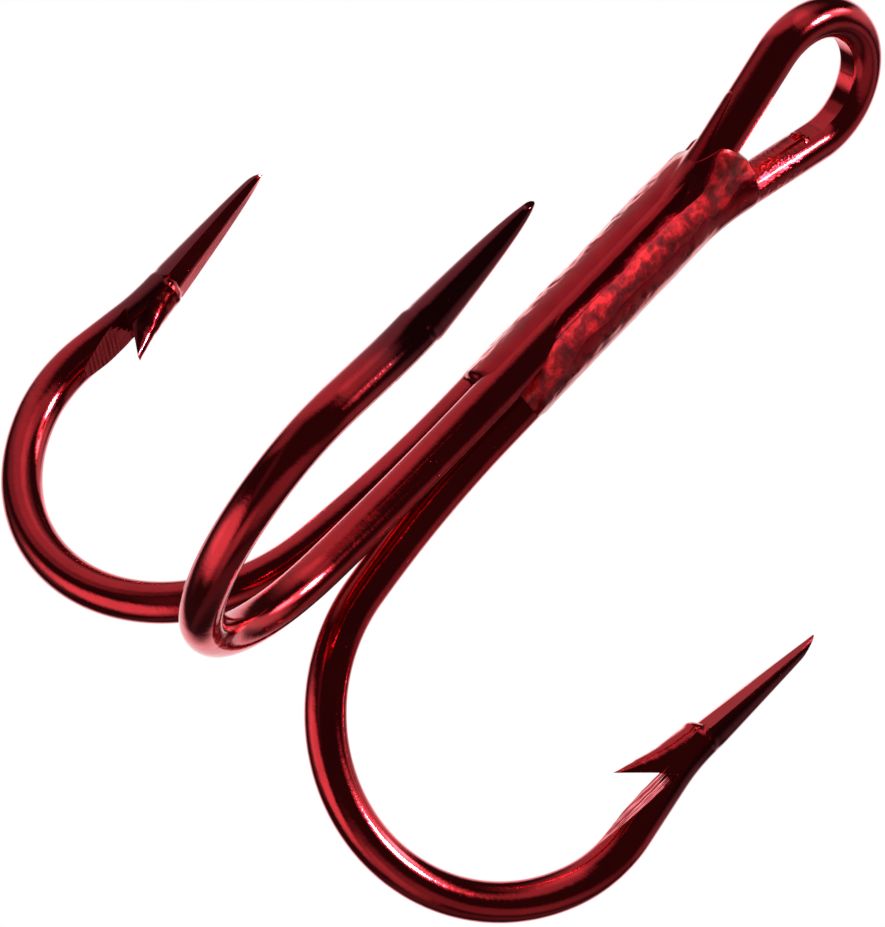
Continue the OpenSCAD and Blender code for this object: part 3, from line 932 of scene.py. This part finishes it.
def mottled(name):
    """The finish over braze metal: glossy where the braze is thin on the
    left shank, frosted and blotchy where it is thick."""
    m, nt, out = material(name)
    tc = add(nt, "ShaderNodeTexCoord")
    coord = tc.outputs["Object"]
    across = add(nt, "ShaderNodeVectorMath", operation="DOT_PRODUCT")
    across.inputs[1].default_value = (0.653, -0.757, 0.0)
    nt.links.new(coord, across.inputs[0])
    blot = noise_node(nt, coord, 1700, 4, 0.66, 0.3)
    big = noise_node(nt, coord, 700, 2, 0.5)
    grain = noise_node(nt, coord, 9000, 3, 0.6)
    # frosted from the valley outwards
    sh = add(nt, "ShaderNodeMath", operation="MULTIPLY_ADD")
    nt.links.new(big.outputs["Fac"], sh.inputs[0])
    sh.inputs[1].default_value = 0.0007
    nt.links.new(across.outputs["Value"], sh.inputs[2])
    xyz = add(nt, "ShaderNodeSeparateXYZ")
    nt.links.new(coord, xyz.inputs[0])
    fork = add(nt, "ShaderNodeMapRange", in_1=-0.0054, in_2=-0.0044, in_3=0.0, in_4=0.00028)
    nt.links.new(xyz.outputs[2], fork.inputs[0])
    shifted = add(nt, "ShaderNodeMath", operation="ADD")
    nt.links.new(sh.outputs[0], shifted.inputs[0])
    nt.links.new(fork.outputs[0], shifted.inputs[1])
    rise = add(nt, "ShaderNodeMapRange", in_1=-0.00006, in_2=0.00030)
    rise.interpolation_type = "SMOOTHSTEP"
    nt.links.new(shifted.outputs[0], rise.inputs[0])
    fall = add(nt, "ShaderNodeMapRange", in_1=0.00080, in_2=0.00118, in_3=1.0, in_4=0.12)
    fall.interpolation_type = "SMOOTHSTEP"
    nt.links.new(sh.outputs[0], fall.inputs[0])
    frost = add(nt, "ShaderNodeMath", operation="MULTIPLY")
    nt.links.new(rise.outputs[0], frost.inputs[0])
    nt.links.new(fall.outputs[0], frost.inputs[1])
    col_thin = ramp(nt, [(0.3, (0.42, 0.008, 0.018, 1)), (0.65, (0.62, 0.014, 0.026, 1))], big.outputs["Fac"])
    col_thick = ramp(nt, [(0.38, (0.08, 0.003, 0.005, 1)), (0.5, (0.25, 0.005, 0.008, 1)),
                          (0.64, (0.74, 0.015, 0.019, 1))], blot.outputs["Fac"])
    col = add(nt, "ShaderNodeMix", data_type="RGBA")
    nt.links.new(frost.outputs[0], col.inputs[0])
    nt.links.new(col_thin.outputs[0], col.inputs[6])
    nt.links.new(col_thick.outputs[0], col.inputs[7])
    rg = add(nt, "ShaderNodeMapRange", in_3=0.10, in_4=0.40)
    nt.links.new(frost.outputs[0], rg.inputs[0])
    metal = add(nt, "ShaderNodeMapRange", in_3=1.0, in_4=0.72)
    nt.links.new(frost.outputs[0], metal.inputs[0])
    h1 = add(nt, "ShaderNodeMath", operation="MULTIPLY_ADD")
    nt.links.new(blot.outputs["Fac"], h1.inputs[0])
    h1.inputs[1].default_value = 4.0
    nt.links.new(grain.outputs["Fac"], h1.inputs[2])
    amount = add(nt, "ShaderNodeMapRange", in_3=0.25, in_4=0.8)
    nt.links.new(frost.outputs[0], amount.inputs[0])
    bump = add(nt, "ShaderNodeBump", in_Distance=0.00001)
    nt.links.new(amount.outputs[0], bump.inputs["Strength"])
    nt.links.new(h1.outputs[0], bump.inputs["Height"])
    b = add(nt, "ShaderNodeBsdfPrincipled")
    nt.links.new(col.outputs[2], b.inputs["Base Color"])
    nt.links.new(rg.outputs[0], b.inputs["Roughness"])
    nt.links.new(metal.outputs[0], b.inputs["Metallic"])
    nt.links.new(bump.outputs[0], b.inputs["Normal"])
    b.inputs["Coat Weight"].default_value = 0.16
    b.inputs["Coat Roughness"].default_value = 0.12
    nt.links.new(b.outputs[0], out.inputs["Surface"])
    return m


braze_red = mottled("coated_braze")


def bare_braze():
    m, nt, out = material("bare_braze")
    tc = add(nt, "ShaderNodeTexCoord")
    n1 = noise_node(nt, tc.outputs["Object"], 2500, 4, 0.6)
    col = ramp(nt, [(0.3, (0.55, 0.4, 0.18, 1)), (0.7, (0.8, 0.63, 0.34, 1))], n1.outputs["Fac"])
    bump = add(nt, "ShaderNodeBump", in_Strength=0.6, in_Distance=0.00003)
    nt.links.new(n1.outputs["Fac"], bump.inputs["Height"])
    b = add(nt, "ShaderNodeBsdfPrincipled", in_Roughness=0.35)
    b.inputs["Metallic"].default_value = 1.0
    nt.links.new(col.outputs[0], b.inputs["Base Color"])
    nt.links.new(bump.outputs[0], b.inputs["Normal"])
    nt.links.new(b.outputs[0], out.inputs["Surface"])
    return m


bare = bare_braze()
for ob, mat, node, slot in ((double, red, "double_hook_wire", "hook_finish"),
                            (single, red_back_shaded, "single_hook_wire", "hook_finish"),
                            (front, braze_red, "braze_front_seam", "coated_braze"),
                            (left_seam, braze_red, "braze_left_seam", "coated_braze"),
                            (right_seam, braze_red, "braze_right_seam", "coated_braze"),
                            (core, bare, "braze_core", "bare_braze")):
    ob.data.materials.clear()
    ob.data.materials.append(mat)
    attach(ob, "root")
    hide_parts(node)

# ---------------------------------------------------------------------------
# Camera: far away, below the hooks' level, rolled so the shank runs up right
# ---------------------------------------------------------------------------
RIGHT = Vector((0.339912, -0.660027, 0.669922))
DOWN = Vector((0.583624, -0.410517, -0.700593))
AHEAD = Vector((0.737439, 0.629134, 0.245672))
cam_data = bpy.data.cameras.new("camera")
cam_data.type = "PERSP"
cam_data.sensor_fit = "AUTO"
cam_data.sensor_width = 36.0
cam_data.lens = 6000.0 / 927.0 * 36.0
cam_data.clip_start, cam_data.clip_end = 0.01, 20.0
cam = bpy.data.objects.new("camera", cam_data)
bpy.context.scene.collection.objects.link(cam)
up, back = -DOWN, -AHEAD
cam.matrix_world = Matrix(((RIGHT.x, up.x, back.x, -0.145129),
                           (RIGHT.y, up.y, back.y, -0.12368),
                           (RIGHT.z, up.z, back.z, -0.066594),
                           (0, 0, 0, 1)))
bpy.context.scene.camera = cam

# ---------------------------------------------------------------------------
# Floor: pale, level with the lowest point of the bends. It is seen from above
# only, because the camera looks up from below it.
# ---------------------------------------------------------------------------
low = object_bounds()[0].z


def floor_mesh():
    bm = bmesh.new()
    rings = [0.0] + [0.02 * 1.35 ** i for i in range(16)]
    prev = [bm.verts.new((0, 0, low - 0.00002))]
    for r in rings[1:]:
        cur = [bm.verts.new((r * math.cos(2 * math.pi * k / 64), r * math.sin(2 * math.pi * k / 64), low - 0.00002))
               for k in range(64)]
        for k in range(64):
            j = (k + 1) % 64
            if len(prev) == 1:
                bm.faces.new((prev[0], cur[k], cur[j]))
            else:
                bm.faces.new((prev[k], cur[k], cur[j], prev[j]))
        prev = cur
    me = bpy.data.meshes.new("floor")
    bm.to_mesh(me)
    bm.free()
    ob = bpy.data.objects.new("floor", me)
    bpy.context.scene.collection.objects.link(ob)
    return ob


floor = floor_mesh()
fm, nt, out = material("floor")
geo = add(nt, "ShaderNodeNewGeometry")
tc = add(nt, "ShaderNodeTexCoord")
n1 = noise_node(nt, tc.outputs["Object"], 30, 3)
col = ramp(nt, [(0.3, (0.80, 0.80, 0.805, 1)), (0.7, (0.83, 0.83, 0.83, 1))], n1.outputs["Fac"])
dif = add(nt, "ShaderNodeBsdfDiffuse")
nt.links.new(col.outputs[0], dif.inputs["Color"])
far = add(nt, "ShaderNodeVectorMath", operation="LENGTH")
nt.links.new(tc.outputs["Object"], far.inputs[0])
fade = add(nt, "ShaderNodeMapRange", in_1=0.05, in_2=0.35)
fade.interpolation_type = "SMOOTHSTEP"
nt.links.new(far.outputs["Value"], fade.inputs[0])
glow = add(nt, "ShaderNodeEmission", in_Strength=1.0)
glow.inputs[0].default_value = (1, 1, 1, 1)
mix = add(nt, "ShaderNodeMixShader")
nt.links.new(fade.outputs[0], mix.inputs[0])
nt.links.new(dif.outputs[0], mix.inputs[1])
nt.links.new(glow.outputs[0], mix.inputs[2])
clear = add(nt, "ShaderNodeBsdfTransparent")
side = add(nt, "ShaderNodeMixShader")
nt.links.new(geo.outputs["Backfacing"], side.inputs[0])
nt.links.new(mix.outputs[0], side.inputs[1])
nt.links.new(clear.outputs[0], side.inputs[2])
nt.links.new(side.outputs[0], out.inputs["Surface"])
floor.data.materials.append(fm)
floor.visible_glossy = False
floor.visible_shadow = False
floor.visible_diffuse = False

# ---------------------------------------------------------------------------
# Studio: white paper behind, panels around, dark towards the camera. The
# panels are placed by the direction a surface must face to reflect them to
# the camera: h is that direction, seen from the camera.
# ---------------------------------------------------------------------------
world = bpy.data.worlds.new("studio")
bpy.context.scene.world = world
world.use_nodes = True
nt = world.node_tree
nt.nodes.clear()
wout = nt.nodes.new("ShaderNodeOutputWorld")
tc = nt.nodes.new("ShaderNodeTexCoord")


def vmath(op, a, b=None):
    n = add(nt, "ShaderNodeVectorMath", operation=op)
    nt.links.new(a, n.inputs[0])
    if b is not None:
        if isinstance(b, (tuple, Vector)):
            n.inputs[1].default_value = tuple(b)
        else:
            nt.links.new(b, n.inputs[1])
    return n


def fmath(op, a, b=None, c=None):
    n = add(nt, "ShaderNodeMath", operation=op)
    for i, v in enumerate((a, b, c)):
        if v is None:
            continue
        if isinstance(v, (int, float)):
            n.inputs[i].default_value = v
        else:
            nt.links.new(v, n.inputs[i])
    return n.outputs[0]


h = vmath("NORMALIZE", vmath("SUBTRACT", tc.outputs["Generated"], AHEAD).outputs[0]).outputs[0]
u = vmath("DOT_PRODUCT", h, RIGHT).outputs["Value"]
v = vmath("DOT_PRODUCT", h, DOWN).outputs["Value"]


def panel(cu, cv, lu, lv, angle, level, edge=0.5):
    """A soft-edged oval panel: centre, half sizes, turn, brightness."""
    ca, sa = cosd(angle), sind(angle)
    du, dv = fmath("SUBTRACT", u, cu), fmath("SUBTRACT", v, cv)
    p = fmath("ADD", fmath("MULTIPLY", du, ca / lu), fmath("MULTIPLY", dv, sa / lu))
    q = fmath("ADD", fmath("MULTIPLY", du, -sa / lv), fmath("MULTIPLY", dv, ca / lv))
    r = fmath("SQRT", fmath("ADD", fmath("MULTIPLY", p, p), fmath("MULTIPLY", q, q)))
    m = add(nt, "ShaderNodeMapRange", in_1=1.0 + edge, in_2=1.0 - edge, in_3=0.0, in_4=level)
    m.interpolation_type = "SMOOTHSTEP"
    nt.links.new(r, m.inputs[0])
    return m.outputs[0]


panels = [
    (-0.50, 0.26, 0.36, 0.15, 52, 0.98, 0.40),     # lower left panel, bright
    (-0.72, 0.08, 0.10, 0.26, -10, 0.22, 0.6),     # its left edge
    (-0.08, 0.54, 0.14, 0.13, 0, 0.36, 0.6),       # below
    (0.26, 0.44, 0.34, 0.15, 6, 0.19, 0.5),        # below, right
    (0.10, 0.76, 0.50, 0.07, -4, 0.07, 0.6),       # low, dim
    (-0.24, -0.66, 0.50, 0.19, 8, 0.42, 0.45),     # above
    (0.20, -0.44, 0.34, 0.10, 46, 0.36, 0.5),      # above, running down right
    (0.80, -0.28, 0.09, 0.32, -6, 0.62, 0.6),      # right
    (-0.50, -0.42, 0.16, 0.08, 16, 0.22, 0.7),     # small, left
    (-0.34, -0.05, 0.06, 0.22, -8, 0.06, 0.8),     # dim, left of the middle
    (0.75, 0.37, 0.10, 0.15, -30, 0.20, 0.6),      # right, low
    (0.55, -0.15, 0.052, 0.062, 0, 150.0, 0.4),    # key lamp
    (0.58, -0.20, 0.11, 0.16, 14, 2.2, 0.7),       # its glow
    (0.65, -0.31, 0.05, 0.065, 0, 7.0, 0.7),       # second lamp
]
total = 0.030
for p in panels:
    total = fmath("ADD", panel(*p), total)
r = fmath("SQRT", fmath("ADD", fmath("MULTIPLY", u, u), fmath("MULTIPLY", v, v)))
paper = add(nt, "ShaderNodeMapRange", in_1=0.915, in_2=0.965, in_3=0.0, in_4=1.0)
paper.interpolation_type = "SMOOTHSTEP"
nt.links.new(r, paper.inputs[0])
total = fmath("ADD", total, paper.outputs[0])
studio = add(nt, "ShaderNodeBackground")
nt.links.new(total, studio.inputs["Strength"])
studio.inputs["Color"].default_value = (1.0, 0.985, 0.98, 1)
plain = add(nt, "ShaderNodeBackground", in_Strength=0.8)
plain.inputs["Color"].default_value = (1, 1, 1, 1)
white = add(nt, "ShaderNodeBackground", in_Strength=1.0)
white.inputs["Color"].default_value = (1, 1, 1, 1)
path = add(nt, "ShaderNodeLightPath")
m1 = add(nt, "ShaderNodeMixShader")
nt.links.new(path.outputs["Is Glossy Ray"], m1.inputs[0])
nt.links.new(plain.outputs[0], m1.inputs[1])
nt.links.new(studio.outputs[0], m1.inputs[2])
m2 = add(nt, "ShaderNodeMixShader")
nt.links.new(path.outputs["Is Camera Ray"], m2.inputs[0])
nt.links.new(m1.outputs[0], m2.inputs[1])
nt.links.new(white.outputs[0], m2.inputs[2])
nt.links.new(m2.outputs[0], wout.inputs["Surface"])
world.cycles.sampling_method = "NONE"

lamp_data = bpy.data.lights.new("soft_top", "AREA")
lamp_data.shape, lamp_data.size, lamp_data.energy = "DISK", 0.12, 0.13
lamp = bpy.data.objects.new("soft_top", lamp_data)
lamp.location = (0.05, -0.06, 0.15)
lamp.rotation_euler = Vector((0.05, -0.06, 0.165)).to_track_quat("Z", "Y").to_euler()
lamp.visible_glossy = False
lamp.visible_camera = False
bpy.context.scene.collection.objects.link(lamp)

vs = bpy.context.scene.view_settings
vs.view_transform = "Standard"
vs.look = "None"
vs.exposure, vs.gamma = 0.0, 1.0
